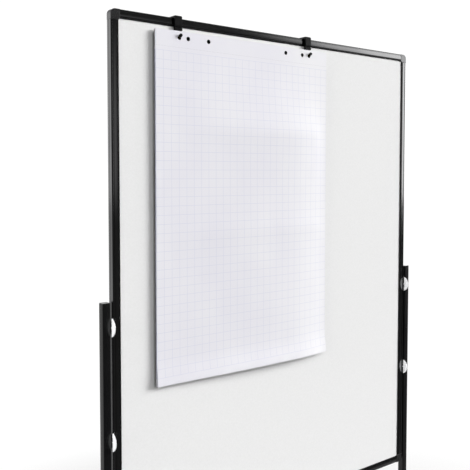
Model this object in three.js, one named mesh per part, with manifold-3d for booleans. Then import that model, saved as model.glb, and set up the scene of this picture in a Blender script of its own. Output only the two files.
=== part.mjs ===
// Presentation board used as a flipchart easel: a framed panel held between two side posts on
// T-feet with castors, and a paper pad that hangs from two hooks over the top rail.
// Millimetres, +Z up. The front faces -Y, and the origin is on the floor under the middle.

import * as THREE from 'three';
import { mergeVertices } from 'three/addons/utils/BufferGeometryUtils.js';
import Module from 'manifold-3d';

const wasm = await Module();
wasm.setup();

// ---------------------------------------------------------------- driving dimensions

const GAP = 0.3; // clearance between pieces that touch

const BOARD = { width: 1200, bottom: 450, top: 1950 };
const RAIL = { face: 24, depth: 22 }; // frame profile: width seen from the front, and depth
const CHAMBER = { outer: 2, inner: 14, front: 2.6, rear: 20 }; // hollow inside the profile
const SLOT = { floor: 16, front: 4, rear: 18.3 }; // groove that holds the panel
const SKIN = 1; // thickness of each face sheet of the panel
const CORNER = { size: 28, radius: 14, fillet: 4, tenon: 25 };

const POST = { width: 23, depth: 22, wall: 1.5, gap: 7, top: 1180, capHeight: 2.3 };
const LOCK = { radius: 27, reach: 17, thickness: 3.2, stand: 1, heights: [805, 1113] };
const SPINDLE = { radius: 1.6, bore: 1.9 };
const LOCK_BAR = { length: 24, height: 4.5, depth: 3 };
const SPACER = { depth: 18, height: 30 };

const FOOT = { width: 40, height: 30, wall: 2, length: 560, bottom: 61, cap: 3 };
const SOCKET = { plate: 4, plateLength: 76, wall: 2.7, height: 44 };

const WHEEL = { radius: 25, width: 10.5, inset: 8 };
const CASTOR = { reach: 255, trail: 18, web: 7.5, hoodInner: 27, hoodOuter: 30, hoodWidth: 38 };
const STEM = { radius: 5, top: 84, boss: 9, bossBottom: 50 };
const BUSH = { bore: 5.3, body: 7.7, flange: 10, flangeHeight: 2, top: 80 };
const AXLE = { radius: 3, bore: 3.4, length: 33 };
const PEDAL = { radius: 33, angle: 25, barrel: 2.6, trunnion: 1.2, width: 17.4, reach: 17 };

const PAD = { width: 650, height: 980, left: 128, drop: 37.4, backing: 1.2, sheets: 4.6, leaf: 0.5 };
const TEAR_LINE = 45; // header of the pad above the line where a leaf turns
const HOLE = { radius: 6.1, drop: 18.3, spare: [-218, -148, 148, 218] }; // below the pad's top edge
const HOOK = { spacing: 495, width: 23, block: 8, plate: 4, cover: 5.5, slack: 0.5, lip: 35.2, tail: 70 };
const HOOK_REAR = { plate: 3.5, drop: 17 };
const PEG = { radius: 2.5, tilt: 24, drop: 58.1, length: 23.3 };
const PEG_COLLAR = { radius: 4.9, at: 15.6 };
const PEG_HEAD = { radius: 4.4, at: 16.8 };

// ---------------------------------------------------------------- derived places

const HALF_WIDTH = BOARD.width / 2;
const FRONT = -RAIL.depth / 2; // front face of the frame and of the posts
const REAR = RAIL.depth / 2;
const POST_X = HALF_WIDTH + POST.gap + POST.width / 2;
const LOCK_X = HALF_WIDTH + POST.gap / 2;
const FOOT_TOP = FOOT.bottom + FOOT.height;
const PAD_X = -HALF_WIDTH + PAD.left + PAD.width / 2;
const PAD_TOP = BOARD.top - PAD.drop;
const PAD_BACK = FRONT - HOOK.slack - HOOK.plate - 0.4;
const PAD_FRONT = PAD_BACK - PAD.backing - PAD.sheets - PAD.leaf - 2 * GAP;
const PEG_Z = BOARD.top - PEG.drop;
const HOLE_Z = PAD_TOP - HOLE.drop;

// ---------------------------------------------------------------- materials

function finish(color, roughness, metalness) {
  return new THREE.MeshStandardMaterial({ color, roughness, metalness });
}

const BLACK_ALUMINIUM = finish(0x1d1e20, 0.42, 0.85);
const BLACK_PLASTIC = finish(0x151516, 0.5, 0);
const BLACK_STEEL = finish(0x1a1a1b, 0.45, 0.6);
const SATIN_METAL = finish(0xd8d9da, 0.32, 0.9);
const BRASS = finish(0x8a7a45, 0.35, 0.9);
const PALE_FELT = finish(0xe6e6e6, 0.95, 0);
const CORE_BOARD = finish(0xc9b48f, 0.9, 0);
const PAPER = finish(0xeceaf0, 0.8, 0);
const GREY_CARD = finish(0x3a3a3c, 0.9, 0);
const GREY_RUBBER = finish(0x55565a, 0.75, 0);

// ---------------------------------------------------------------- geometry helpers

function basis(x, y, z) {
  return new THREE.Matrix4().makeBasis(
    new THREE.Vector3(...x), new THREE.Vector3(...y), new THREE.Vector3(...z));
}

const UPRIGHT = basis([1, 0, 0], [0, 1, 0], [0, 0, 1]);
const TO_FRONT = basis([1, 0, 0], [0, 0, 1], [0, -1, 0]); // drawn in X-Z, extruded towards -Y
const TO_RIGHT = basis([0, 1, 0], [0, 0, 1], [1, 0, 0]); // drawn in Y-Z, extruded towards +X

function piece(name, geometry, material, position = [0, 0, 0], turn = UPRIGHT) {
  const mesh = new THREE.Mesh(geometry, material);
  mesh.name = name;
  mesh.position.set(...position);
  mesh.quaternion.setFromRotationMatrix(turn);
  return mesh;
}

function extrude(shape, depth, { turn = UPRIGHT, bevel = 0, curveSegments = 2 } = {}) {
  const geometry = new THREE.ExtrudeGeometry(shape, {
    depth: depth - 2 * bevel,
    bevelEnabled: bevel > 0,
    bevelThickness: bevel,
    bevelSize: bevel,
    bevelOffset: -bevel,
    bevelSegments: 1,
    curveSegments,
  });
  return geometry.translate(0, 0, bevel).applyMatrix4(turn);
}

function box(low, high) {
  const size = low.map((value, i) => high[i] - value);
  const middle = low.map((value, i) => (high[i] + value) / 2);
  return new THREE.BoxGeometry(...size).translate(...middle);
}

// A rod along one axis ('x', 'y' or 'z') between two distances, passing through a centre.
function rod(radius, axis, from, to, centre = [0, 0, 0], segments = 16) {
  const geometry = new THREE.CylinderGeometry(radius, radius, to - from, segments);
  geometry.translate(0, (from + to) / 2, 0);
  if (axis === 'z') geometry.rotateX(Math.PI / 2);
  if (axis === 'x') geometry.rotateZ(-Math.PI / 2);
  return geometry.translate(...centre);
}

function roundedRectangle(width, height, radius, Outline = THREE.Shape) {
  const outline = new Outline();
  const x = width / 2 - radius;
  const y = height / 2 - radius;
  outline.absarc(x, y, radius, 0, Math.PI / 2);
  outline.absarc(-x, y, radius, Math.PI / 2, Math.PI);
  outline.absarc(-x, -y, radius, Math.PI, 1.5 * Math.PI);
  outline.absarc(x, -y, radius, 1.5 * Math.PI, 2 * Math.PI);
  outline.closePath();
  return outline;
}

function polygon(points, Outline = THREE.Shape) {
  return new Outline(points.map(([x, y]) => new THREE.Vector2(x, y)));
}

function solid(geometry) {
  const bare = geometry.clone();
  bare.deleteAttribute('normal');
  bare.deleteAttribute('uv');
  const merged = mergeVertices(bare, 1e-4);
  return new wasm.Manifold(new wasm.Mesh({
    numProp: 3,
    vertProperties: merged.attributes.position.array,
    triVerts: Uint32Array.from(merged.index.array),
  }));
}

function surface(body) {
  const { vertProperties, triVerts } = body.getMesh();
  const geometry = new THREE.BufferGeometry();
  geometry.setAttribute('position', new THREE.BufferAttribute(vertProperties, 3));
  geometry.setIndex(new THREE.BufferAttribute(triVerts, 1));
  geometry.computeVertexNormals();
  return geometry;
}

// Joins the first list of geometries and cuts the second list out of the result.
function carve(joined, cut = []) {
  let body = solid(joined[0]);
  for (const geometry of joined.slice(1)) body = body.add(solid(geometry));
  for (const geometry of cut) body = body.subtract(solid(geometry));
  return surface(body);
}

// ---------------------------------------------------------------- board

// Frame profile: x runs from the outer edge towards the panel, y from the front to the rear.
function railSection() {
  const section = new THREE.Shape();
  section.moveTo(0, 12.6);
  section.lineTo(0.5, 12.1);
  section.lineTo(0.5, 11.1);
  section.lineTo(0, 10.6);
  section.absarc(3.6, 3.6, 3.6, Math.PI, 1.5 * Math.PI); // outer front edge
  section.lineTo(4.3, 0);
  section.lineTo(4.5, 1.6); // groove beside the edge
  section.lineTo(7.3, 1.6);
  section.lineTo(7.5, 0.3);
  section.quadraticCurveTo(12.8, -0.3, 18.1, 0.3); // crowned middle band
  section.lineTo(18.3, 2.5);
  section.lineTo(RAIL.face - 0.4, 2.5); // ledge beside the panel
  section.lineTo(RAIL.face, 2.9);
  section.lineTo(RAIL.face, SLOT.front);
  section.lineTo(SLOT.floor, SLOT.front);
  section.lineTo(SLOT.floor, SLOT.rear);
  section.lineTo(RAIL.face, SLOT.rear);
  section.lineTo(RAIL.face, RAIL.depth - 1);
  section.lineTo(RAIL.face - 1, RAIL.depth);
  section.absarc(1.5, RAIL.depth - 1.5, 1.5, Math.PI / 2, Math.PI); // outer rear edge
  section.closePath();
  const { outer, inner, front, rear } = CHAMBER;
  section.holes.push(polygon([[outer, front], [inner, front], [inner, rear], [outer, rear]], THREE.Path));
  return section;
}

function frameRails() {
  const section = railSection();
  const inset = CORNER.size + GAP;
  const across = extrude(section, BOARD.width - 2 * inset);
  const upright = extrude(section, BOARD.top - BOARD.bottom - 2 * inset);
  const right = HALF_WIDTH - inset;
  return [
    piece('frame_rail_top', across, BLACK_ALUMINIUM,
      [-right, FRONT, BOARD.top], basis([0, 0, -1], [0, 1, 0], [1, 0, 0])),
    piece('frame_rail_bottom', across, BLACK_ALUMINIUM,
      [right, FRONT, BOARD.bottom], basis([0, 0, 1], [0, 1, 0], [-1, 0, 0])),
    piece('frame_rail_left', upright, BLACK_ALUMINIUM,
      [-HALF_WIDTH, FRONT, BOARD.bottom + inset]),
    piece('frame_rail_right', upright, BLACK_ALUMINIUM,
      [HALF_WIDTH, FRONT, BOARD.top - inset], basis([-1, 0, 0], [0, 1, 0], [0, 0, -1])),
  ];
}

// Corner piece: origin on the outer corner at the rear face, z towards the front.
function cornerGeometry() {
  const { size, radius, fillet, tenon } = CORNER;
  const outline = new THREE.Shape();
  outline.moveTo(size, 0);
  outline.lineTo(size, RAIL.face);
  outline.absarc(size, size, fillet, 1.5 * Math.PI, Math.PI, true);
  outline.lineTo(0, size);
  outline.absarc(radius, radius, radius, Math.PI, 1.5 * Math.PI);
  outline.closePath();
  const rear = RAIL.depth - CHAMBER.rear + GAP;
  const front = RAIL.depth - CHAMBER.front - GAP;
  const near = CHAMBER.outer + GAP;
  const far = CHAMBER.inner - GAP;
  const end = size + tenon;
  return carve(
    [
      extrude(outline, RAIL.depth, { bevel: 0.6, curveSegments: 4 }),
      box([size - 8, near, rear], [end, far, front]),
      box([near, size - 8, rear], [far, end, front]),
    ],
    [box([SLOT.floor, SLOT.floor, RAIL.depth - SLOT.rear], [size + 5, size + 5, RAIL.depth - SLOT.front])],
  );
}

function cornerCaps() {
  const geometry = cornerGeometry();
  const { bottom, top } = BOARD;
  const places = [
    ['bottom_left', -HALF_WIDTH, bottom, [1, 0, 0], [0, 0, 1]],
    ['bottom_right', HALF_WIDTH, bottom, [0, 0, 1], [-1, 0, 0]],
    ['top_right', HALF_WIDTH, top, [-1, 0, 0], [0, 0, -1]],
    ['top_left', -HALF_WIDTH, top, [0, 0, -1], [1, 0, 0]],
  ];
  return places.map(([corner, x, z, along, up]) =>
    piece(`corner_cap_${corner}`, geometry, BLACK_PLASTIC, [x, REAR, z], basis(along, up, [0, -1, 0])));
}

function panel() {
  const edge = SLOT.floor + GAP;
  const x = HALF_WIDTH - edge;
  const front = FRONT + SLOT.front + GAP;
  const rear = FRONT + SLOT.rear - GAP;
  const layer = (from, to) => box([-x, from, BOARD.bottom + edge], [x, to, BOARD.top - edge]);
  return [
    piece('panel_front_skin', layer(front, front + SKIN), PALE_FELT),
    piece('panel_core', layer(front + SKIN + GAP, rear - SKIN - GAP), CORE_BOARD),
    piece('panel_rear_skin', layer(rear - SKIN, rear), PALE_FELT),
  ];
}

// ---------------------------------------------------------------- posts and board locks

function post(name, x) {
  const { width, depth, wall, top, capHeight } = POST;
  const section = roundedRectangle(width, depth, 2);
  section.holes.push(roundedRectangle(width - 2 * wall, depth - 2 * wall, 1, THREE.Path));
  const bottom = FOOT_TOP + SOCKET.plate + 2 * GAP;
  const length = top - capHeight - GAP - bottom;
  return piece(name, extrude(section, length), BLACK_ALUMINIUM, [x, 0, bottom]);
}

function postCap(name, x) {
  const { width, depth, wall, top, capHeight } = POST;
  const plug = 2 * (wall + GAP);
  const geometry = carve([
    extrude(roundedRectangle(width, depth, 2), capHeight, { bevel: 0.6 }),
    extrude(roundedRectangle(width - plug, depth - plug, 1), 16).translate(0, 0, -15),
  ]);
  return piece(name, geometry, BLACK_PLASTIC, [x, 0, top - capHeight]);
}

// Half-moon thumb piece on a spindle, with a bar that clamps behind the rail and the post.
// The origin is the middle of the straight edge, in front of the faces.
function lockGeometry() {
  const half = new THREE.Shape();
  const centre = LOCK.radius - LOCK.reach;
  const start = Math.acos(-centre / LOCK.radius);
  half.absarc(centre, 0, LOCK.radius, start, 2 * Math.PI - start);
  half.closePath();
  const { length, height, depth } = LOCK_BAR;
  const barFront = RAIL.depth + 2 * LOCK.stand;
  return carve([
    extrude(half, LOCK.thickness, { turn: TO_RIGHT, bevel: 0.5, curveSegments: 12 })
      .translate(-LOCK.thickness / 2, 0, 0),
    rod(SPINDLE.radius, 'y', -2, barFront + 1),
    box([-length / 2, barFront, -height / 2], [length / 2, barFront + depth, height / 2]),
  ]);
}

function spacerGeometry() {
  const x = POST.gap / 2 - GAP;
  const front = LOCK.stand + (RAIL.depth - SPACER.depth) / 2;
  return carve(
    [box([-x, front, -SPACER.height / 2], [x, front + SPACER.depth, SPACER.height / 2])],
    [rod(SPINDLE.bore, 'y', 0, RAIL.depth + 2)],
  );
}

function locks() {
  const lock = lockGeometry();
  const spacer = spacerGeometry();
  const pieces = [];
  for (const [side, sign] of [['left', -1], ['right', 1]]) {
    for (const [level, z] of [['lower', LOCK.heights[0]], ['upper', LOCK.heights[1]]]) {
      const place = [sign * LOCK_X, FRONT - LOCK.stand, z];
      pieces.push(piece(`board_lock_${side}_${level}`, lock, SATIN_METAL, place));
      pieces.push(piece(`lock_spacer_${side}_${level}`, spacer, BLACK_PLASTIC, place));
    }
  }
  return pieces;
}

// ---------------------------------------------------------------- feet

function footBeam(name, x) {
  const { width, height, wall, length, bottom, cap } = FOOT;
  const section = roundedRectangle(width, height, 3);
  section.holes.push(roundedRectangle(width - 2 * wall, height - 2 * wall, 1.5, THREE.Path));
  const run = length - 2 * (cap + GAP);
  const stemHoles = [-CASTOR.reach, CASTOR.reach].map((y) =>
    rod(BUSH.body + GAP, 'z', -height / 2 - 1, -height / 2 + wall + 1, [0, y, 0]));
  const tube = extrude(section, run, { turn: TO_FRONT }).translate(0, run / 2, 0);
  return piece(name, carve([tube], stemHoles), BLACK_STEEL, [x, 0, bottom + height / 2]);
}

function footEndCap(name, x, side) {
  const { width, height, wall, length, bottom, cap } = FOOT;
  const inset = 2 * (wall + GAP);
  const geometry = carve([
    extrude(roundedRectangle(width, height, 3), cap, { turn: TO_FRONT, bevel: 0.8 }),
    extrude(roundedRectangle(width - inset, height - inset, 1.5), 10, { turn: TO_FRONT })
      .translate(0, 9, 0),
  ]);
  if (side > 0) geometry.rotateZ(Math.PI);
  return piece(name, geometry, BLACK_PLASTIC, [x, side * (length / 2 - cap), bottom + height / 2]);
}

function postSocket(name, x) {
  const { plate, plateLength, wall, height } = SOCKET;
  const innerX = POST.width + 2 * GAP;
  const innerY = POST.depth + 2 * GAP;
  const sleeve = roundedRectangle(innerX + 2 * wall, innerY + 2 * wall, 3);
  const geometry = carve(
    [
      extrude(roundedRectangle(FOOT.width - 4, plateLength, 6), plate, { bevel: 0.8 }),
      extrude(sleeve, height - 1).translate(0, 0, 1),
    ],
    [extrude(roundedRectangle(innerX, innerY, 2), height).translate(0, 0, plate)],
  );
  return piece(name, geometry, BLACK_STEEL, [x, 0, FOOT_TOP + GAP]);
}

// ---------------------------------------------------------------- castors

// In castor coordinates the stem stands on the Z axis, the wheels trail towards +Y and turn
// about X, and z is the height over the floor.
const AXLE_CENTRE = [0, CASTOR.trail, WHEEL.radius];

function onHood(radius, degrees) {
  const angle = THREE.MathUtils.degToRad(degrees);
  return [CASTOR.trail + radius * Math.cos(angle), WHEEL.radius + radius * Math.sin(angle)];
}

const PEDAL_PIVOT = [0, ...onHood(PEDAL.radius, PEDAL.angle)];

function hood() {
  const { trail, hoodInner, hoodOuter, hoodWidth } = CASTOR;
  const from = THREE.MathUtils.degToRad(18);
  const to = THREE.MathUtils.degToRad(176);
  const ring = new THREE.Shape();
  ring.absarc(trail, WHEEL.radius, hoodOuter, from, to);
  ring.absarc(trail, WHEEL.radius, hoodInner, to, from, true);
  ring.closePath();
  return extrude(ring, hoodWidth, { turn: TO_RIGHT, curveSegments: 8 }).translate(-hoodWidth / 2, 0, 0);
}

function web() {
  const { trail, web: half, hoodInner } = CASTOR;
  const outline = new THREE.Shape();
  outline.absarc(trail, WHEEL.radius, 12, 1.2 * Math.PI, 2.05 * Math.PI);
  outline.lineTo(...onHood(hoodInner + 1, 60));
  outline.lineTo(...onHood(hoodInner + 1, 90));
  outline.lineTo(...onHood(hoodInner + 1, 150));
  outline.closePath();
  return extrude(outline, 2 * half, { turn: TO_RIGHT, curveSegments: 4 }).translate(-half, 0, 0);
}

function pedalLugs() {
  const tip = PEDAL_PIVOT.slice(1);
  const outline = new THREE.Shape();
  outline.absarc(...tip, 3.2, -0.3 * Math.PI, 0.6 * Math.PI);
  outline.lineTo(...onHood(CASTOR.hoodInner + 1, 38));
  outline.lineTo(...onHood(CASTOR.hoodInner + 1, 19));
  outline.closePath();
  const lug = () => extrude(outline, 3, { turn: TO_RIGHT, curveSegments: 3 });
  const inner = PEDAL.width / 2 + GAP;
  return [lug().translate(inner, 0, 0), lug().translate(-inner - 3, 0, 0)];
}

function housingGeometry(braked) {
  const bossTop = FOOT.bottom - BUSH.flangeHeight - 2 * GAP;
  const joined = [
    web(),
    hood(),
    rod(STEM.boss, 'z', STEM.bossBottom, bossTop),
    rod(STEM.radius, 'z', bossTop - 2, STEM.top),
  ];
  const cut = [rod(AXLE.bore, 'x', -CASTOR.web - 1, CASTOR.web + 1, AXLE_CENTRE)];
  if (braked) {
    const reach = PEDAL.width / 2 + 5;
    joined.push(...pedalLugs());
    cut.push(rod(PEDAL.trunnion + GAP, 'x', -reach, reach, PEDAL_PIVOT, 12));
  }
  return carve(joined, cut);
}

// Wheel of a twin pair: the bore opens towards the web, and the outer face is closed.
function wheelGeometry() {
  const { radius, width } = WHEEL;
  const profile = [
    [0, width - 2], [AXLE.bore, width - 2], [AXLE.bore, 0], [radius - 2, 0], [radius, 1.6],
    [radius, width - 2.5], [radius - 2.5, width], [radius - 4.5, width - 1.2], [0, width - 0.4],
  ];
  const points = profile.map(([r, h]) => new THREE.Vector2(r, h));
  return new THREE.LatheGeometry(points, 24).rotateZ(-Math.PI / 2);
}

function pedalGeometry() {
  const { width, reach, barrel, trunnion } = PEDAL;
  const tread = new THREE.Shape();
  tread.moveTo(0, -barrel);
  tread.quadraticCurveTo(reach * 0.6, -barrel + 1, reach, 4.2);
  tread.lineTo(reach - 0.8, 6.4);
  tread.quadraticCurveTo(reach * 0.5, 1.8, 0, barrel);
  tread.closePath();
  return carve([
    extrude(tread, width, { turn: TO_RIGHT, curveSegments: 4 }).translate(-width / 2, 0, 0),
    rod(barrel, 'x', -width / 2, width / 2, [0, 0, 0], 20),
    rod(trunnion, 'x', -width / 2 - 3, width / 2 + 3, [0, 0, 0], 12),
  ]);
}

function castor(place, x, side) {
  const braked = side < 0;
  const group = new THREE.Group();
  group.position.set(x, side * CASTOR.reach, 0);
  if (side > 0) group.rotation.z = Math.PI;
  const bush = carve(
    [
      rod(BUSH.flange, 'z', FOOT.bottom - BUSH.flangeHeight - GAP, FOOT.bottom - GAP),
      rod(BUSH.body, 'z', FOOT.bottom - GAP - 1, BUSH.top),
    ],
    [rod(BUSH.bore, 'z', 50, 90)],
  );
  const wheel = wheelGeometry();
  const flipped = wheel.clone().rotateZ(Math.PI);
  group.add(
    piece(`castor_bush_${place}`, bush, BLACK_PLASTIC),
    piece(`castor_housing_${place}`, housingGeometry(braked), BLACK_PLASTIC),
    piece(`castor_axle_${place}`, rod(AXLE.radius, 'x', -AXLE.length / 2, AXLE.length / 2), SATIN_METAL,
      AXLE_CENTRE),
    piece(`castor_wheel_a_${place}`, wheel, GREY_RUBBER, [WHEEL.inset, ...AXLE_CENTRE.slice(1)]),
    piece(`castor_wheel_b_${place}`, flipped, GREY_RUBBER, [-WHEEL.inset, ...AXLE_CENTRE.slice(1)]),
  );
  if (braked) group.add(piece(`castor_brake_${place}`, pedalGeometry(), BLACK_PLASTIC, PEDAL_PIVOT));
  return group;
}

// ---------------------------------------------------------------- hooks and pad

// Hook in section: y from front to rear, z from the top of the rail.
function hookGeometry() {
  const { width, block, plate, cover, slack, lip, tail } = HOOK;
  const inner = FRONT - slack;
  const outer = inner - block;
  const back = REAR + slack;
  const rear = back + HOOK_REAR.plate;
  const top = slack + cover;
  const section = new THREE.Shape();
  section.moveTo(inner, -tail);
  section.lineTo(inner, slack);
  section.lineTo(back, slack);
  section.lineTo(back, -HOOK_REAR.drop);
  section.lineTo(rear, -HOOK_REAR.drop);
  section.absarc(rear - 3, top - 3, 3, 0, Math.PI / 2);
  section.absarc(outer + 5, top - 5, 5, Math.PI / 2, Math.PI);
  section.lineTo(outer, -22);
  section.lineTo(outer + 0.9, -22.4); // groove above a ridge
  section.lineTo(outer - 0.2, -23.8);
  section.lineTo(outer - 0.2, -24.2);
  section.lineTo(outer + 1.8, -25.2); // recess above the lip
  section.lineTo(outer + 1.8, -28.2);
  section.lineTo(outer - 0.7, -30.4);
  section.lineTo(outer - 0.7, 0.8 - lip);
  section.lineTo(outer + 0.3, -lip);
  section.lineTo(inner - plate, -lip);
  section.lineTo(inner - plate, -tail);
  section.closePath();
  const side = extrude(section, width, { turn: TO_RIGHT, curveSegments: 3 }).translate(-width / 2, 0, 0);
  const outline = roundedRectangle(width, top + tail, 3.5);
  const front = extrude(outline, 60, { turn: TO_FRONT, curveSegments: 3 })
    .translate(0, 30, (top - tail) / 2);
  const bore = rod(PEG.radius + GAP, 'y', -plate - 4, 4)
    .rotateX(-THREE.MathUtils.degToRad(PEG.tilt))
    .translate(0, inner, -PEG.drop);
  return surface(solid(side).intersect(solid(front)).subtract(solid(bore)));
}

// Peg screwed into the hook, tilted up to the front: a plain shank, a collar and a fluted head.
// The origin is the middle of its rear end.
function pegGeometry() {
  const flutes = 12;
  const outline = new THREE.Shape();
  for (let i = 0; i < 3 * flutes; i += 1) {
    const radius = i % 3 === 2 ? PEG_HEAD.radius - 0.5 : PEG_HEAD.radius;
    const angle = (i / (3 * flutes)) * 2 * Math.PI;
    const point = [radius * Math.cos(angle), radius * Math.sin(angle)];
    if (i === 0) outline.moveTo(...point);
    else outline.lineTo(...point);
  }
  outline.closePath();
  const head = extrude(outline, PEG.length - PEG_HEAD.at, { turn: TO_FRONT, bevel: 0.7 });
  return carve([
    rod(PEG.radius, 'y', -PEG_HEAD.at - 1, -1.2),
    rod(PEG_COLLAR.radius, 'y', -PEG_HEAD.at - 0.5, -PEG_COLLAR.at),
    head.translate(0, -PEG_HEAD.at, 0),
  ]).rotateX(-THREE.MathUtils.degToRad(PEG.tilt));
}

function hooks() {
  const hook = hookGeometry();
  const peg = pegGeometry();
  const pieces = [];
  for (const [side, sign] of [['left', -1], ['right', 1]]) {
    const x = PAD_X + (sign * HOOK.spacing) / 2;
    pieces.push(piece(`pad_hook_${side}`, hook, BLACK_PLASTIC, [x, 0, BOARD.top]));
    pieces.push(piece(`hook_peg_${side}`, peg, BRASS, [x, FRONT - HOOK.slack, PEG_Z]));
  }
  return pieces;
}

function punch(geometry, offsets) {
  const [front, rear] = [PAD_FRONT - 2, PAD_BACK + 2];
  const holes = offsets.map((x) => rod(HOLE.radius, 'y', front, rear, [PAD_X + x, 0, HOLE_Z]));
  return carve([geometry].flat(), holes);
}

function pad() {
  const left = PAD_X - PAD.width / 2;
  const right = left + PAD.width;
  const bottom = PAD_TOP - PAD.height;
  const slab = (front, rear, low, high) => box([left, front, low], [right, rear, high]);
  const cardFront = PAD_BACK - PAD.backing;
  const blockRear = cardFront - GAP;
  const blockFront = blockRear - PAD.sheets;
  const hung = [-HOOK.spacing / 2, HOOK.spacing / 2];
  const tear = PAD_TOP - TEAR_LINE;
  const block = [
    slab(blockFront, blockRear, bottom, PAD_TOP),
    slab(PAD_FRONT, blockFront + 1, tear + GAP, PAD_TOP),
  ];
  return [
    piece('pad_backing_board', punch(slab(cardFront, PAD_BACK, bottom, PAD_TOP), hung), GREY_CARD),
    piece('pad_sheet_block', punch(block, [...hung, ...HOLE.spare]), PAPER),
    piece('pad_top_sheet', slab(PAD_FRONT, PAD_FRONT + PAD.leaf, bottom, tear), PAPER),
  ];
}

// ---------------------------------------------------------------- assembly

const easel = new THREE.Group();
easel.add(...frameRails(), ...cornerCaps(), ...panel(), ...locks(), ...hooks(), ...pad());
for (const [side, sign] of [['left', -1], ['right', 1]]) {
  const x = sign * POST_X;
  easel.add(post(`post_${side}`, x), postCap(`post_cap_${side}`, x));
  easel.add(footBeam(`foot_beam_${side}`, x), postSocket(`post_socket_${side}`, x));
  for (const [end, direction] of [['front', -1], ['rear', 1]]) {
    easel.add(footEndCap(`foot_end_cap_${side}_${end}`, x, direction));
    easel.add(castor(`${side}_${end}`, x, direction));
  }
}

export default easel;
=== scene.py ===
"""Looks for the flipchart easel: a framed board on two posts, with a paper pad on two hooks.

Metres, +Z up, front of the board towards -Y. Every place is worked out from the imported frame.
"""

import math
import random

import bmesh
import bpy
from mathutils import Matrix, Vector, geometry, noise


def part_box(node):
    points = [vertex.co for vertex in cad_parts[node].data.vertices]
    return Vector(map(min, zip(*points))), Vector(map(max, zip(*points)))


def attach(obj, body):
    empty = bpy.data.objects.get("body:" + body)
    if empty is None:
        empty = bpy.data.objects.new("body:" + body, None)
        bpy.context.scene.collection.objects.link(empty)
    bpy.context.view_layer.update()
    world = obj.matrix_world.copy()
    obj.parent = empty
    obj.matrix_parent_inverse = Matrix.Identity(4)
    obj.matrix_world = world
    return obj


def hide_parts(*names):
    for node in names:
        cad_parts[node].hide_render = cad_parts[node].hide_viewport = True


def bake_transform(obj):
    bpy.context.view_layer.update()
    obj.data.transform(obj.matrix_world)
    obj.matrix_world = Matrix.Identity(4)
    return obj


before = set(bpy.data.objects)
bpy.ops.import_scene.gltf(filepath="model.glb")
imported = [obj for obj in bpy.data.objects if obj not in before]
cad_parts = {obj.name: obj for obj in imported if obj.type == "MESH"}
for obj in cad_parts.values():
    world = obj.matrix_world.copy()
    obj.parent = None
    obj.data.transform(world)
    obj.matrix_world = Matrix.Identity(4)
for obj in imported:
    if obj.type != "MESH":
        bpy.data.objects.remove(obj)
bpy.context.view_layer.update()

MM = 0.001
SIDES = ("left", "right")
ENDS = ("front", "rear")
LEVELS = ("lower", "upper")
EDGES = ("top", "bottom", "left", "right")
CORNERS = ("top_left", "top_right", "bottom_left", "bottom_right")

BOARD_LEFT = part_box("frame_rail_left")[0].x
BOARD_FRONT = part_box("frame_rail_left")[0].y
BOARD_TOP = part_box("frame_rail_top")[1].z
BOARD_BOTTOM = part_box("frame_rail_bottom")[0].z

PAD_LOW, PAD_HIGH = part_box("pad_sheet_block")
PAD_WIDTH = PAD_HIGH.x - PAD_LOW.x
PAD_HEIGHT = PAD_HIGH.z - PAD_LOW.z
PAD_MIDDLE = (PAD_LOW.x + PAD_HIGH.x) / 2
TEAR_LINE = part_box("pad_top_sheet")[1].z
TEAR_DROP = PAD_HIGH.z - TEAR_LINE

PEG_BOX = {side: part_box(f"hook_peg_{side}") for side in SIDES}
PEG_X = {side: (low.x + high.x) / 2 for side, (low, high) in PEG_BOX.items()}
PEG_TILT = math.radians(24)
PEG_AXIS = Vector((0, -math.cos(PEG_TILT), math.sin(PEG_TILT)))
PEG_ROOT_Y = BOARD_FRONT - 0.5 * MM  # middle of the peg's rear end
PEG_ROOT_Z = BOARD_TOP - 58.1 * MM
PEG_LENGTH = 23.3 * MM
PEG_SHANK = 2.5 * MM
PEG_COLLAR = (4.9 * MM, 15.6 * MM)  # radius, and place along the peg
PEG_HEAD = (4.4 * MM, 16.8 * MM)

HOLE_RADIUS = 6.1 * MM
HOLE_DROP = 18.3 * MM  # from the pad's top edge to the middle of its holes
PAD_CORNER = 5 * MM
SPARE_HOLES = [offset * MM for offset in (-218, -148, 148, 218)]
GRID_STEP = 25 * MM
GRID_HEADER = 57 * MM  # blank paper above the grid
GRID_ROWS = 36
SHEET_THICKNESS = 0.3 * MM

BELLY_HEIGHT = 9.0 * MM
FOLD_HEIGHT = 3.2 * MM
FOLD_WIDTH = 30 * MM
FOLD_PLACES = (262 * MM, 560 * MM)  # down from the pad's top edge
WAVE_HEIGHT = 6.0 * MM
CURL_HEIGHT = 8.0 * MM
CURL_REACH = 90 * MM  # up from the pad's foot

SHARP_ANGLE = math.radians(35)


# ------------------------------------------------------------------ shader nodes


def add(tree, kind, inputs=None, **settings):
    """A new node with its settings, and its inputs as values or as sockets to link from."""
    node = tree.nodes.new(kind)
    for name, value in settings.items():
        setattr(node, name, value)
    for name, value in (inputs or {}).items():
        if isinstance(value, bpy.types.NodeSocket):
            tree.links.new(value, node.inputs[name])
        else:
            node.inputs[name].default_value = value
    return node


def principled(name, **sockets):
    """A material with a Principled shader; constant sockets are named with _ for a space."""
    material = bpy.data.materials.new(name)
    material.use_nodes = True
    shader = material.node_tree.nodes["Principled BSDF"]
    for socket, value in sockets.items():
        shader.inputs[socket.replace("_", " ")].default_value = value
    return material, material.node_tree, shader


def object_noise(tree, scale, detail=4.0):
    """Noise over the piece's own space, with the features per metre on each axis."""
    place = add(tree, "ShaderNodeTexCoord").outputs["Object"]
    stretched = add(tree, "ShaderNodeMapping", {"Vector": place, "Scale": scale}).outputs["Vector"]
    settings = {"Vector": stretched, "Scale": 1.0, "Detail": detail}
    return add(tree, "ShaderNodeTexNoise", settings).outputs["Fac"]


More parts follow.
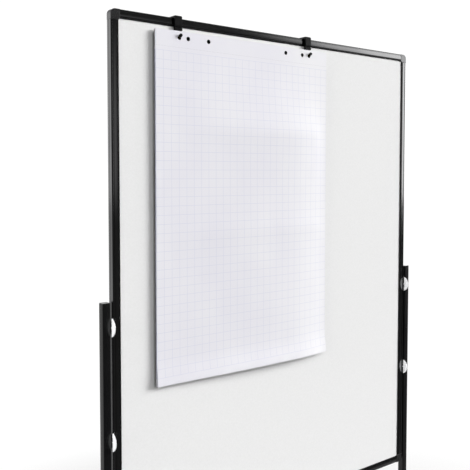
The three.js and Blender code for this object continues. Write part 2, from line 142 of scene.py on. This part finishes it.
def spread(tree, value, low, high, start=0.3, end=0.7):
    """value, from start to end, spread over low to high."""
    limits = {"Value": value, "From Min": start, "From Max": end, "To Min": low, "To Max": high}
    return add(tree, "ShaderNodeMapRange", limits).outputs["Result"]


def blended(tree, factor, low, high):
    """A colour between low and high; either may be three numbers or a socket."""
    low, high = (side if isinstance(side, bpy.types.NodeSocket) else (*side, 1) for side in (low, high))
    return add(tree, "ShaderNodeMix", {0: factor, 6: low, 7: high}, data_type="RGBA").outputs[2]


def calculate(tree, operation, a, b=0.0):
    """The result of one operation on numbers or sockets."""
    return add(tree, "ShaderNodeMath", {0: a, 1: b}, operation=operation).outputs[0]


def emboss(tree, shader, height, distance, strength=1.0):
    """Raises the shader's surface by the height, from 0 to 1, times the distance."""
    bump = add(tree, "ShaderNodeBump", {"Height": height, "Distance": distance, "Strength": strength})
    tree.links.new(bump.outputs["Normal"], shader.inputs["Normal"])


def finish(name, tones, gloss, grain, depth, **sockets):
    """A grained and slightly uneven surface.

    tones are two linear colours, gloss the range of roughness, grain the features per metre on
    each axis, and depth the height of the grain.
    """
    material, tree, shader = principled(name, **sockets)
    fine = object_noise(tree, grain)
    broad = object_noise(tree, (7.0, 7.0, 7.0), detail=2.0)
    fine_share = calculate(tree, "MULTIPLY", fine, 0.5)
    broad_share = calculate(tree, "MULTIPLY", broad, 0.5)
    uneven = calculate(tree, "ADD", fine_share, broad_share)
    tone = spread(tree, uneven, 0, 1)
    tree.links.new(blended(tree, tone, *tones), shader.inputs["Base Color"])
    tree.links.new(spread(tree, uneven, *gloss), shader.inputs["Roughness"])
    emboss(tree, shader, fine, depth)
    return material


# ------------------------------------------------------------------ finishes


def anodised(name, run):
    """Black anodised aluminium, with fine drawing lines along the axis it was extruded on."""
    grain = tuple(6 if axis == run else 1600 for axis in "xyz")
    return finish(
        name,
        tones=((0.17, 0.17, 0.172), (0.25, 0.25, 0.252)),
        gloss=(0.10, 0.15),
        grain=grain,
        depth=0.004 * MM,
        Metallic=1.0,
    )


def felt():
    """Pale grey pressed felt: short fibres in tufts, without a weave."""
    material, tree, shader = principled("felt", Roughness=0.95, Sheen_Weight=0.15, Sheen_Roughness=0.6)
    fibres = object_noise(tree, (1500, 1500, 900), detail=6.0)
    tufts = object_noise(tree, (220, 220, 220), detail=3.0)
    fibre_share = calculate(tree, "MULTIPLY", fibres, 0.6)
    tuft_share = calculate(tree, "MULTIPLY", tufts, 0.4)
    pile = calculate(tree, "ADD", fibre_share, tuft_share)
    tone = spread(tree, pile, 0, 1, 0.35, 0.65)
    colour = blended(tree, tone, (0.755, 0.755, 0.752), (0.81, 0.81, 0.81))
    tree.links.new(colour, shader.inputs["Base Color"])
    emboss(tree, shader, pile, 0.25 * MM, 0.6)
    return material


def near_line(tree, across, step, width):
    """1 on lines that repeat every step of the coordinate, and 0 between them."""
    shifted = calculate(tree, "ADD", across, step / 2)
    repeated = calculate(tree, "FLOORED_MODULO", shifted, step)
    distance = calculate(tree, "ABSOLUTE", calculate(tree, "SUBTRACT", repeated, step / 2))
    return spread(tree, distance, 1, 0, width * 0.3, width * 0.7)


def printed_paper():
    """White flipchart paper: pale grid, blank header, a perforation drawn as dashes of painted shade, and a
    tone with painted light and shade that grows brighter towards the right edge; the sheet's own map places
    them.
    """
    material, tree, shader = principled("printed_paper", Roughness=0.72, Specular_IOR_Level=0.25)
    sheet = add(tree, "ShaderNodeUVMap", uv_map="sheet").outputs["UV"]
    flat = add(tree, "ShaderNodeSeparateXYZ", {"Vector": sheet})
    across = calculate(tree, "MULTIPLY", flat.outputs["X"], PAD_WIDTH)
    down = calculate(tree, "MULTIPLY", calculate(tree, "SUBTRACT", 1.0, flat.outputs["Y"]), PAD_HEIGHT)
    row = calculate(tree, "SUBTRACT", down, GRID_HEADER)
    line = 0.9 * MM
    rows = near_line(tree, row, GRID_STEP, line)
    columns = near_line(tree, across, GRID_STEP, line)
    below = calculate(tree, "GREATER_THAN", row, -line / 2)
    above = calculate(tree, "LESS_THAN", row, GRID_ROWS * GRID_STEP + line / 2)
    inside = calculate(tree, "MULTIPLY", below, above)
    grid = calculate(tree, "MULTIPLY", calculate(tree, "MAXIMUM", rows, columns), inside)

    # Painted shade: dark dashes along the tear line stand in for the shade in the perforation's cuts, which
    # the sheet itself doesn't have.
    dash_pitch, dash_gap, dash_half_width = 5 * MM, 2 * MM, 0.3 * MM
    from_tear = calculate(tree, "ABSOLUTE", calculate(tree, "SUBTRACT", down, TEAR_DROP))
    tear = calculate(tree, "LESS_THAN", from_tear, dash_half_width)
    cut = calculate(tree, "GREATER_THAN", calculate(tree, "FLOORED_MODULO", across, dash_pitch), dash_gap)
    perforation = calculate(tree, "MULTIPLY", tear, cut)

    fibres = add(tree, "ShaderNodeTexNoise", {"Vector": sheet, "Scale": 900.0, "Detail": 3.0}).outputs["Fac"]
    # Painted light and shade in the paper's colour: cloudy patches that are partly random whiteness and
    # partly painted shade and light for the sheet's waves, and painted light that brightens the paper towards
    # its right edge.
    clouds = add(tree, "ShaderNodeTexNoise", {"Vector": sheet, "Scale": 4.0, "Detail": 2.0}).outputs["Fac"]
    cloudy_tone_and_painted_shade = spread(tree, clouds, 0, 0.45)
    painted_light_to_right = spread(tree, flat.outputs["X"], 0, 0.55, 0.45, 1.0)  # painted light: brighter towards the right edge
    # uneven here holds the random tone, the painted shade and the painted light together.
    uneven = calculate(tree, "ADD", cloudy_tone_and_painted_shade, painted_light_to_right)
    paper_tone_with_painted_light_and_shade = blended(tree, uneven, (0.735, 0.727, 0.780), (0.815, 0.812, 0.828))
    ink = (0.46, 0.49, 0.66)
    printed = blended(tree, calculate(tree, "MULTIPLY", grid, 0.48), paper_tone_with_painted_light_and_shade, ink)
    # The perforation's dashes are painted shade, mixed into the printed colour.
    with_painted_perforation_shade = blended(tree, calculate(tree, "MULTIPLY", perforation, 0.5), printed, (0.30, 0.30, 0.32))
    tree.links.new(with_painted_perforation_shade, shader.inputs["Base Color"])
    emboss(tree, shader, fibres, 0.03 * MM, 0.5)
    return material


def make_finishes():
    return {
        "profile_x": anodised("anodised_across", "x"),
        "profile_z": anodised("anodised_upright", "z"),
        "plastic": finish(
            "moulded_black_plastic",
            tones=((0.0035, 0.0035, 0.0038), (0.0060, 0.0060, 0.0064)),
            gloss=(0.36, 0.48),
            grain=(1400, 1400, 1400),
            depth=0.02 * MM,
            Specular_IOR_Level=0.18,
        ),
        "powder": finish(
            "black_powder_coat",
            tones=((0.0035, 0.0035, 0.0038), (0.0065, 0.0065, 0.0070)),
            gloss=(0.26, 0.34),
            grain=(700, 700, 700),
            depth=0.03 * MM,
            Specular_IOR_Level=0.5,
        ),
        "cap": finish(
            "glossy_black_cap",
            tones=((0.15, 0.15, 0.152), (0.21, 0.21, 0.212)),
            gloss=(0.24, 0.32),
            grain=(1100, 1100, 1100),
            depth=0.015 * MM,
            Metallic=1.0,
        ),
        "zinc": finish(
            "pale_cast_zinc",
            tones=((0.84, 0.85, 0.86), (0.93, 0.93, 0.94)),
            gloss=(0.38, 0.48),
            grain=(900, 900, 900),
            depth=0.02 * MM,
            Metallic=0.2,
        ),
        "satin": finish(
            "satin_steel",
            tones=((0.76, 0.77, 0.78), (0.88, 0.89, 0.90)),
            gloss=(0.42, 0.52),
            grain=(1800, 160, 160),
            depth=0.015 * MM,
            Metallic=1.0,
            Anisotropic=0.3,
        ),
        "brass": finish(
            "blackened_brass",
            tones=((0.030, 0.025, 0.010), (0.110, 0.092, 0.036)),
            gloss=(0.25, 0.40),
            grain=(900, 200, 900),
            depth=0.02 * MM,
            Metallic=1.0,
        ),
        # Near-black card: the backing board's colour, kept this dark so that the board seen through the holes
        # reads as their shade, and painted shade on the walls of the paper sheets' holes.
        "card": finish(
            "dark_card_and_painted_hole_shade",
            tones=((0.006, 0.006, 0.006), (0.011, 0.011, 0.011)),
            gloss=(0.80, 0.92),
            grain=(900, 900, 900),
            depth=0.06 * MM,
        ),
        "softboard": finish(
            "soft_board",
            tones=((0.40, 0.30, 0.18), (0.60, 0.47, 0.30)),
            gloss=(0.85, 0.95),
            grain=(600, 600, 600),
            depth=0.15 * MM,
        ),
        "tread": finish(
            "grey_tread",
            tones=((0.085, 0.086, 0.090), (0.130, 0.130, 0.136)),
            gloss=(0.62, 0.78),
            grain=(900, 900, 900),
            depth=0.05 * MM,
        ),
        "felt": felt(),
        "paper": printed_paper(),
    }


FINISH = make_finishes()


# ------------------------------------------------------------------ mesh helpers


def smooth_below(angle):
    """A node group that shades smoothly, except over edges sharper than the angle."""
    group = bpy.data.node_groups.new("smooth_below_angle", "GeometryNodeTree")
    group.interface.new_socket("Geometry", in_out="INPUT", socket_type="NodeSocketGeometry")
    group.interface.new_socket("Geometry", in_out="OUTPUT", socket_type="NodeSocketGeometry")
    start = add(group, "NodeGroupInput").outputs[0]
    fold = add(group, "GeometryNodeInputMeshEdgeAngle").outputs[0]
    soft = add(group, "FunctionNodeCompare", {0: fold, 1: angle}, operation="LESS_THAN").outputs[0]
    faces = add(group, "GeometryNodeSetShadeSmooth", {"Geometry": start, "Shade Smooth": True}, domain="FACE")
    edges = add(
        group,
        "GeometryNodeSetShadeSmooth",
        {"Geometry": faces.outputs[0], "Shade Smooth": soft},
        domain="EDGE",
    )
    add(group, "NodeGroupOutput", {0: edges.outputs[0]})
    return group


SMOOTH = smooth_below(SHARP_ANGLE)


def soften(piece, radius):
    """Smooth shading and a small round on every sharp edge."""
    shade = piece.modifiers.new("shade", "NODES")
    shade.node_group = SMOOTH
    if radius:
        bevel = piece.modifiers.new("round", "BEVEL")
        bevel.width = radius
        bevel.segments = 2
        bevel.limit_method = "ANGLE"
        bevel.angle_limit = SHARP_ANGLE
        bevel.harden_normals = True


def dress(node, finish_name, radius=0.3 * MM):
    """Gives a CAD node its finish, with rounded edges from modifiers alone."""
    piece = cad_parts[node]
    piece.material_slots[0].material = FINISH[finish_name]
    for name in ("custom_normal", "sharp_edge", "sharp_face"):
        attribute = piece.data.attributes.get(name)
        if attribute:
            piece.data.attributes.remove(attribute)
    weld = piece.modifiers.new("weld", "WELD")
    weld.merge_threshold = 0.001 * MM
    soften(piece, radius)


def new_piece(name, shape, body, finishes, replaces=()):
    """A piece made of the bmesh shape, with its finishes, that rides on a body."""
    bmesh.ops.recalc_face_normals(shape, faces=shape.faces)
    data = bpy.data.meshes.new(name)
    shape.to_mesh(data)
    shape.free()
    for finish_name in finishes:
        data.materials.append(FINISH[finish_name])
    piece = bpy.data.objects.new(name, data)
    bpy.context.scene.collection.objects.link(piece)
    if body:
        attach(piece, body)
    if replaces:
        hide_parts(*replaces)
    return piece


def arc(centre, radius, start, end, steps):
    """Points on a circle from start to end, in degrees."""
    angles = [math.radians(start + (end - start) * i / steps) for i in range(steps + 1)]
    return [(centre[0] + radius * math.cos(a), centre[1] + radius * math.sin(a)) for a in angles]


def lathe(profile, centre, along, segments, swell=None):
    """A profile of (radius, distance) points turned about the axis from centre in the direction along.

    swell(angle, distance) scales the radius, for flutes. A profile that starts and ends on the
    axis closes by itself; any other is joined from its end to its start.
    """
    side = along.orthogonal().normalized()
    other = along.cross(side)
    shape = bmesh.new()
    rings = []
    for radius, distance in profile:
        middle = centre + along * distance
        if radius == 0:
            rings.append([shape.verts.new(middle)])
            continue
        ring = []
        for i in range(segments):
            angle = 2 * math.pi * i / segments
            reach = radius * (swell(angle, distance) if swell else 1)
            ring.append(shape.verts.new(middle + reach * (math.cos(angle) * side + math.sin(angle) * other)))
        rings.append(ring)
    pairs = list(zip(rings, rings[1:]))
    if len(rings[0]) > 1:
        pairs.append((rings[-1], rings[0]))
    for near, far in pairs:
        for i in range(segments):
            j = (i + 1) % segments
            corners = [near[i % len(near)], near[j % len(near)], far[j % len(far)], far[i % len(far)]]
            corners = list(dict.fromkeys(corners))
            if len(corners) > 2:
                shape.faces.new(corners)
    return shape


# ------------------------------------------------------------------ board, posts and feet


def dress_frame():
    for edge in EDGES:
        profile = "profile_x" if edge in ("top", "bottom") else "profile_z"
        dress(f"frame_rail_{edge}", profile, 0.1 * MM)
    for corner in CORNERS:
        dress(f"corner_cap_{corner}", "cap", 0.4 * MM)
    dress("panel_front_skin", "felt", 0.2 * MM)
    dress("panel_rear_skin", "felt", 0.2 * MM)
    dress("panel_core", "softboard", 0)
    for side in SIDES:
        dress(f"post_{side}", "powder", 0.2 * MM)
        dress(f"post_cap_{side}", "cap", 0.3 * MM)
        dress(f"post_socket_{side}", "powder", 0.4 * MM)
        dress(f"foot_beam_{side}", "powder", 0.2 * MM)
        for end in ENDS:
            dress(f"foot_end_cap_{side}_{end}", "plastic", 0.4 * MM)
        for level in LEVELS:
            dress(f"board_lock_{side}_{level}", "zinc", 0.3 * MM)
            dress(f"lock_spacer_{side}_{level}", "plastic", 0.4 * MM)


def step_shade_strip():
    """Black plastic strip in the step between the frame and the panel, all round the board: a dark piece that
    stands in as painted shade for that step.

    section is in millimetres: inwards from the board's edge, and proud of the seat.
    """
    seat = BOARD_FRONT + 2.5 * MM
    section = [(18.5, 0), (18.5, 0.7), (19.0, 1.2), (21.2, 1.35), (23.3, 1.0), (24.1, 0.2), (24.1, 0)]
    shape = bmesh.new()
    corners = []
    for x, across in ((BOARD_LEFT, 1), (-BOARD_LEFT, -1)):
        for z, up in ((BOARD_BOTTOM, 1), (BOARD_TOP, -1)):
            points = [(x + across * u * MM, seat - proud * MM, z + up * u * MM) for u, proud in section]
            corners.append([shape.verts.new(point) for point in points])
    lap = [corners[0], corners[1], corners[3], corners[2]]
    for near, far in zip(lap, lap[1:] + lap[:1]):
        for i in range(len(section)):
            j = (i + 1) % len(section)
            shape.faces.new([near[i], near[j], far[j], far[i]])
    # The strip's black plastic is painted shade for the recessed step.
    soften(new_piece("step_shade_strip", shape, "root", ["plastic"]), 0)


def dress_castors():
    for side in SIDES:
        for end in ENDS:
            place = f"{side}_{end}"
            dress(f"castor_bush_{place}", "plastic", 0.3 * MM)
            dress(f"castor_housing_{place}", "plastic", 0.6 * MM)
            dress(f"castor_axle_{place}", "satin", 0.3 * MM)
            for wheel in "ab":
                dress(f"castor_wheel_{wheel}_{place}", "tread", 0.3 * MM)
        dress(f"castor_brake_{side}_front", "plastic", 0.5 * MM)


# ------------------------------------------------------------------ hooks and pad


def dress_hooks():
    for side in SIDES:
        dress(f"pad_hook_{side}", "plastic", 0.35 * MM)
        peg_head(side)
        peg_shank(side)


def peg_head(side):
    """Black fluted head with a shallow dish in its face."""
    root = Vector((PEG_X[side], PEG_ROOT_Y, PEG_ROOT_Z))
    radius, start = PEG_HEAD
    end = PEG_LENGTH
    flutes = 16

    def swell(angle, distance):
        depth = min(1, max(0, min(distance - start, end - distance) / (1.2 * MM)))
        return 1 - 0.11 * depth * (0.5 + 0.5 * math.cos(flutes * angle)) ** 2

    profile = [
        (0, start),
        (radius * 0.86, start),
        (radius * 0.97, start + 0.5 * MM),
        (radius, start + 1.1 * MM),
        (radius, end - 1.4 * MM),
        (radius * 0.97, end - 0.7 * MM),
        (radius * 0.86, end - 0.1 * MM),
        (radius * 0.76, end),
        (radius * 0.64, end - 0.2 * MM),
        (radius * 0.52, end - 0.9 * MM),
        (0, end - 0.9 * MM),
    ]
    shape = lathe(profile, root, PEG_AXIS, segments=128, swell=swell)
    hook = f"hook_{side}"
    piece = new_piece(f"peg_head_{side}", shape, hook, ["plastic"], [f"hook_peg_{side}"])
    soften(piece, 0)


def peg_shank(side):
    """Blackened brass shank with a collar behind the head."""
    root = Vector((PEG_X[side], PEG_ROOT_Y, PEG_ROOT_Z))
    collar, place = PEG_COLLAR
    end = PEG_HEAD[1]
    profile = [
        (0, 0),
        (PEG_SHANK - 0.4 * MM, 0),
        (PEG_SHANK, 0.4 * MM),
        (PEG_SHANK, place),
        (collar - 0.3 * MM, place),
        (collar, place + 0.3 * MM),
        (collar, end - 0.3 * MM),
        (collar - 0.3 * MM, end),
        (0, end),
    ]
    shape = lathe(profile, root, PEG_AXIS, segments=64)
    hook = f"hook_{side}"
    piece = new_piece(f"peg_shank_{side}", shape, hook, ["brass"], [f"hook_peg_{side}"])
    soften(piece, 0)


def hung_holes():
    """The holes that the pegs go through, from the pad's middle."""
    return [PEG_X[side] - PAD_MIDDLE for side in SIDES]


def in_hole(point, centres, margin):
    """Whether the point is within a hole, of which the radius is scaled by margin."""
    return any(math.dist(point, centre) < HOLE_RADIUS * margin for centre in centres)


def leaf(shape, layer, place, span, holes, step=None, lift=None):
    """One sheet of paper, added to shape.

    place is (left, bottom) and span (width, height); the sheet is layer = (front, rear) in y.
    holes are the hole centres from the pad's middle, and their walls take the second finish, which for the
    paper sheets is near-black card as painted shade inside the holes.
    step fills it with a grid of points, so that lift(x, z) can bend it forwards.
    """
    left, bottom = place
    right, top = left + span[0], bottom + span[1]
    grid_x, grid_z = [], []
    if step:
        columns, rows = round(span[0] / step), round(span[1] / step)
        grid_x = [left + span[0] * i / columns for i in range(1, columns)]
        grid_z = [bottom + span[1] * i / rows for i in range(1, rows)]
    points = [(left, bottom)]
    points += [(x, bottom) for x in grid_x]
    points += [(right, bottom)]
    points += [(right, z) for z in grid_z]
    points += arc((right - PAD_CORNER, top - PAD_CORNER), PAD_CORNER, 0, 90, steps=8)
    points += [(x, top) for x in reversed(grid_x)]
    points += arc((left + PAD_CORNER, top - PAD_CORNER), PAD_CORNER, 90, 180, steps=8)
    points += [(left, z) for z in reversed(grid_z)]
    edges = [(i, (i + 1) % len(points)) for i in range(len(points))]
    centres = [(PAD_MIDDLE + offset, PAD_HIGH.z - HOLE_DROP) for offset in holes]
    for centre in centres:
        ring = arc(centre, HOLE_RADIUS, 0, 360, steps=32)[:-1]
        edges += [(len(points) + i, len(points) + (i + 1) % len(ring)) for i in range(len(ring))]
        points = points + ring
    if step:
        clear = HOLE_RADIUS + 1.5 * MM
        inner = [(x, z) for x in grid_x for z in grid_z]
        points = points + [p for p in inner if all(math.dist(p, centre) > clear for centre in centres)]

    flat, _, faces, *_ = geometry.delaunay_2d_cdt([Vector(p) for p in points], edges, [], 0, 1e-7)
    sheet_map = shape.loops.layers.uv.get("sheet") or shape.loops.layers.uv.new("sheet")
    front, rear = layer
    near, far = [], []
    for x, z in flat:
        forward = lift(x, z) if lift else 0
        near.append(shape.verts.new((x, front - forward, z)))
        far.append(shape.verts.new((x, rear - forward, z)))
    made = []
    open_edges = {}
    for face in faces:
        middle = (sum(flat[i][0] for i in face) / len(face), sum(flat[i][1] for i in face) / len(face))
        if in_hole(middle, centres, 0.98):
            continue
        made.append(shape.faces.new([near[i] for i in reversed(face)]))
        made.append(shape.faces.new([far[i] for i in face]))
        for a, b in zip(face, face[1:] + face[:1]):
            if (b, a) in open_edges:
                del open_edges[(b, a)]
            else:
                open_edges[(a, b)] = True
    for a, b in open_edges:
        side = shape.faces.new([near[a], near[b], far[b], far[a]])
        # Painted shade: hole walls take the second finish, near-black card in the paper sheets, for the shade
        # inside the holes.
        side.material_index = int(in_hole(flat[a], centres, 1.02))
        made.append(side)
    for face in made:
        for corner in face.loops:
            x, _, z = corner.vert.co
            corner[sheet_map].uv = ((x - PAD_LOW.x) / PAD_WIDTH, (z - PAD_LOW.z) / PAD_HEIGHT)
    loose = [vert for vert in near + far if not vert.link_faces]
    bmesh.ops.delete(shape, geom=loose, context="VERTS")


def eased(value, start, end):
    """0 before start, 1 after end, and a smooth rise between them."""
    share = min(1, max(0, (value - start) / (end - start)))
    return share * share * (3 - 2 * share)


def paper_lift(x, z):
    """How far the top sheet stands off the stack.

    It has a belly towards its right edge, soft folds and waves, and a curl along its foot.
    """
    down = PAD_HIGH.z - z
    across = (x - PAD_LOW.x) / PAD_WIDTH
    free = eased(down, 60 * MM, 300 * MM)
    belly = BELLY_HEIGHT * eased(across, 0, 0.78) * eased(1 - across, 0, 0.22)
    folds = sum(FOLD_HEIGHT * math.exp(-(((down - place) / FOLD_WIDTH) ** 2)) for place in FOLD_PLACES)
    folds *= 0.7 + 0.6 * noise.noise(Vector((x * 4.0, 2.3, z * 1.5)))
    waves = WAVE_HEIGHT * (0.5 + 0.5 * noise.noise(Vector((x * 3.6 + z * 1.8, 4.2, z * 3.4))))
    inset = eased(across, 0, 0.5) * eased(1 - across, 0, 0.1)
    foot = eased(down, PAD_HEIGHT - CURL_REACH, PAD_HEIGHT) ** 2
    curl = CURL_HEIGHT * foot * (0.6 + 0.4 * eased(across, 0, 0.35))
    return free * (belly + inset * (folds + waves)) + curl


def top_sheet():
    """The sheet that turns over, joined to its punched header in one piece."""
    low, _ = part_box("pad_top_sheet")
    shape = bmesh.new()
    holes = hung_holes() + SPARE_HOLES
    layer = (low.y, low.y + SHEET_THICKNESS)
    span = (PAD_WIDTH, PAD_HEIGHT)
    leaf(shape, layer, (PAD_LOW.x, PAD_LOW.z), span, holes, step=12.5 * MM, lift=paper_lift)
    # The second finish, dark card, is painted shade on the walls of the holes.
    piece = new_piece("top_sheet", shape, None, ["paper", "card"], ["pad_top_sheet"])
    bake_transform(piece)
    soften(piece, 0)


def sheet_stack():
    """The sheets behind the top one, each a little out of line at the sides and the foot."""
    rear = PAD_HIGH.y
    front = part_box("pad_top_sheet")[1].y + SHEET_THICKNESS
    count = 9
    pitch = (rear - front) / count
    paper_share = 0.86  # of the pitch; the rest is air
    draw = random.Random(7)
    shape = bmesh.new()
    for i in range(count):
        shift = draw.uniform(-0.4, 0.4) * MM
        short = draw.uniform(0, 0.9) * MM
        layer = (front + i * pitch, front + (i + paper_share) * pitch)
        place = (PAD_LOW.x + shift, PAD_LOW.z + short)
        leaf(shape, layer, place, (PAD_WIDTH, PAD_HEIGHT - short), hung_holes() + SPARE_HOLES)
    # The second finish, dark card, is painted shade on the walls of the holes.
    new_piece("sheet_stack", shape, "pad", ["paper", "card"], ["pad_sheet_block"])


def backing_board():
    """Stiff board behind the sheets, with their rounded corners and the two holes that the pegs go through.
    """
    low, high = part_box("pad_backing_board")
    shape = bmesh.new()
    layer = (low.y, high.y)
    span = (high.x - low.x, high.z - low.z)
    leaf(shape, layer, (low.x, low.z), span, hung_holes())
    piece = new_piece("backing_board", shape, "pad", ["card", "card"], ["pad_backing_board"])
    soften(piece, 0.2 * MM)


def make_pad():
    backing_board()
    sheet_stack()
    top_sheet()


# ------------------------------------------------------------------ studio


DARK_SIDE = 0.045  # radiance of the side of the studio that the black fronts mirror
WHITE = 1.05  # radiance of the plain background
LAMP_DISTANCE = 60
FLOOR_FADE = (0.8, 2.0)  # distances from the middle, where the floor turns to plain white

CAMERA_LEFT, CAMERA_BACK, CAMERA_DROP = 0.8914, 1.6565, 0.4290  # from the board's top left corner
CAMERA_PITCH, CAMERA_YAW = 2.710, 38.145  # degrees, down and to the right


def studio_floor():
    """A pale floor that fades to plain white; mirrored, it's dark in front and white behind."""
    material, tree, shader = principled("studio_floor", Roughness=0.9)
    shader.inputs["Base Color"].default_value = (0.86, 0.86, 0.86, 1)
    place = add(tree, "ShaderNodeTexCoord").outputs["Object"]
    distance = add(tree, "ShaderNodeVectorMath", {0: place}, operation="LENGTH").outputs["Value"]
    fade = spread(tree, distance, 0, 1, *FLOOR_FADE)
    white = add(tree, "ShaderNodeEmission", {"Color": (1, 1, 1, 1), "Strength": WHITE}).outputs[0]
    seen = add(tree, "ShaderNodeMixShader", {0: fade, 1: shader.outputs[0], 2: white}).outputs[0]
    behind = add(tree, "ShaderNodeSeparateXYZ", {"Vector": place}).outputs["Y"]
    level = spread(tree, behind, DARK_SIDE, 0.65, -0.8, 0.1)
    mirrored = add(tree, "ShaderNodeEmission", {"Color": (1, 1, 1, 1), "Strength": level}).outputs[0]
    direct = add(tree, "ShaderNodeLightPath").outputs["Is Camera Ray"]
    both = add(tree, "ShaderNodeMixShader", {0: direct, 1: mirrored, 2: seen}).outputs[0]
    tree.links.new(both, tree.nodes["Material Output"].inputs["Surface"])
    shape = bmesh.new()
    bmesh.ops.create_circle(shape, cap_ends=True, radius=40, segments=96)
    data = bpy.data.meshes.new("studio_floor")
    shape.to_mesh(data)
    shape.free()
    data.materials.append(material)
    floor = bpy.data.objects.new("studio_floor", data)
    bpy.context.scene.collection.objects.link(floor)


def spot(tree, direction, centre, edge, core, level):
    """level in the directions near centre, falling to 0 where their cosine falls from core to edge."""
    facing = add(tree, "ShaderNodeVectorMath", {0: direction, 1: centre}, operation="DOT_PRODUCT")
    return spread(tree, facing.outputs["Value"], 0, level, edge, core)


def studio_world():
    """White behind the object, and darker on the front side that the black metal mirrors."""
    world = bpy.data.worlds.new("studio")
    bpy.context.scene.world = world
    world.use_nodes = True
    tree = world.node_tree
    tree.nodes.clear()
    direction = add(tree, "ShaderNodeTexCoord").outputs["Generated"]
    apart = add(tree, "ShaderNodeSeparateXYZ", {"Vector": direction}).outputs
    front = spot(tree, direction, (-0.406, -0.914, 0), 0.29, 0.42, 1.0)
    walls = spread(tree, apart["X"], 1.0, 2.8, 0.6, 0.8)
    low = spread(tree, apart["Z"], 1.0, 0.1, 0.30, 0.55)
    card = spot(tree, direction, (0.437, -0.897, 0.05), 0.987, 0.998, 0.25)
    level = calculate(tree, "MULTIPLY", walls, calculate(tree, "SUBTRACT", 1.0, front))
    level = calculate(tree, "ADD", calculate(tree, "MULTIPLY", level, low), DARK_SIDE)
    level = calculate(tree, "ADD", level, card)
    room = add(tree, "ShaderNodeBackground", {"Color": (1, 1, 1, 1), "Strength": level}).outputs[0]
    seen = add(tree, "ShaderNodeBackground", {"Color": (1, 1, 1, 1), "Strength": WHITE}).outputs[0]
    direct = add(tree, "ShaderNodeLightPath").outputs["Is Camera Ray"]
    both = add(tree, "ShaderNodeMixShader", {0: direct, 1: room, 2: seen}).outputs[0]
    add(tree, "ShaderNodeOutputWorld", {"Surface": both})


def area_light(name, towards, azimuth, elevation, size, power):
    """A soft box that mirrors don't show.

    azimuth is measured from the front (-Y) towards the right, in degrees.
    """
    a, e = math.radians(azimuth), math.radians(elevation)
    direction = Vector((math.sin(a) * math.cos(e), -math.cos(a) * math.cos(e), math.sin(e)))
    light = bpy.data.lights.new(name, "AREA")
    light.shape = "RECTANGLE"
    light.size, light.size_y = size
    light.energy = power
    lamp = bpy.data.objects.new(name, light)
    lamp.visible_camera = False
    lamp.visible_glossy = False
    lamp.location = towards + direction * LAMP_DISTANCE
    lamp.rotation_euler = direction.to_track_quat("Z", "Y").to_euler()
    bpy.context.scene.collection.objects.link(lamp)
    return lamp


def make_camera():
    """Stands left of the board at chest height and looks across it."""
    data = bpy.data.cameras.new("camera")
    data.sensor_width = 36
    data.lens = 54.205
    data.shift_y = -0.0600
    camera = bpy.data.objects.new("camera", data)
    camera.location = (BOARD_LEFT - CAMERA_LEFT, BOARD_FRONT - CAMERA_BACK, BOARD_TOP - CAMERA_DROP)
    camera.rotation_euler = (math.radians(90 - CAMERA_PITCH), 0, math.radians(-CAMERA_YAW))
    bpy.context.scene.collection.objects.link(camera)
    bpy.context.scene.camera = camera


def make_studio():
    """Plain colours, the room, three general lights, one for the locks alone, and the camera."""
    scene = bpy.context.scene
    scene.view_settings.view_transform = "Standard"
    scene.view_settings.look = "None"
    middle = Vector((0, BOARD_FRONT, (PAD_LOW.z + PAD_HIGH.z) / 2))
    studio_world()
    studio_floor()
    area_light("key_box", middle, azimuth=48, elevation=21, size=(34, 24), power=35800)
    area_light("fill_box", middle, azimuth=-5, elevation=38, size=(30, 30), power=12500)
    area_light("left_box", middle, azimuth=-75, elevation=10, size=(24, 24), power=9500)
    side_box = area_light("side_box", middle, azimuth=-87, elevation=15, size=(20, 26), power=40000)
    locks = bpy.data.collections.new("locks")  # all that the side box lights
    for side in SIDES:
        for level in LEVELS:
            locks.objects.link(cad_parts[f"board_lock_{side}_{level}"])
    side_box.light_linking.receiver_collection = locks
    make_camera()


dress_frame()
step_shade_strip()
dress_castors()
dress_hooks()
make_pad()
make_studio()
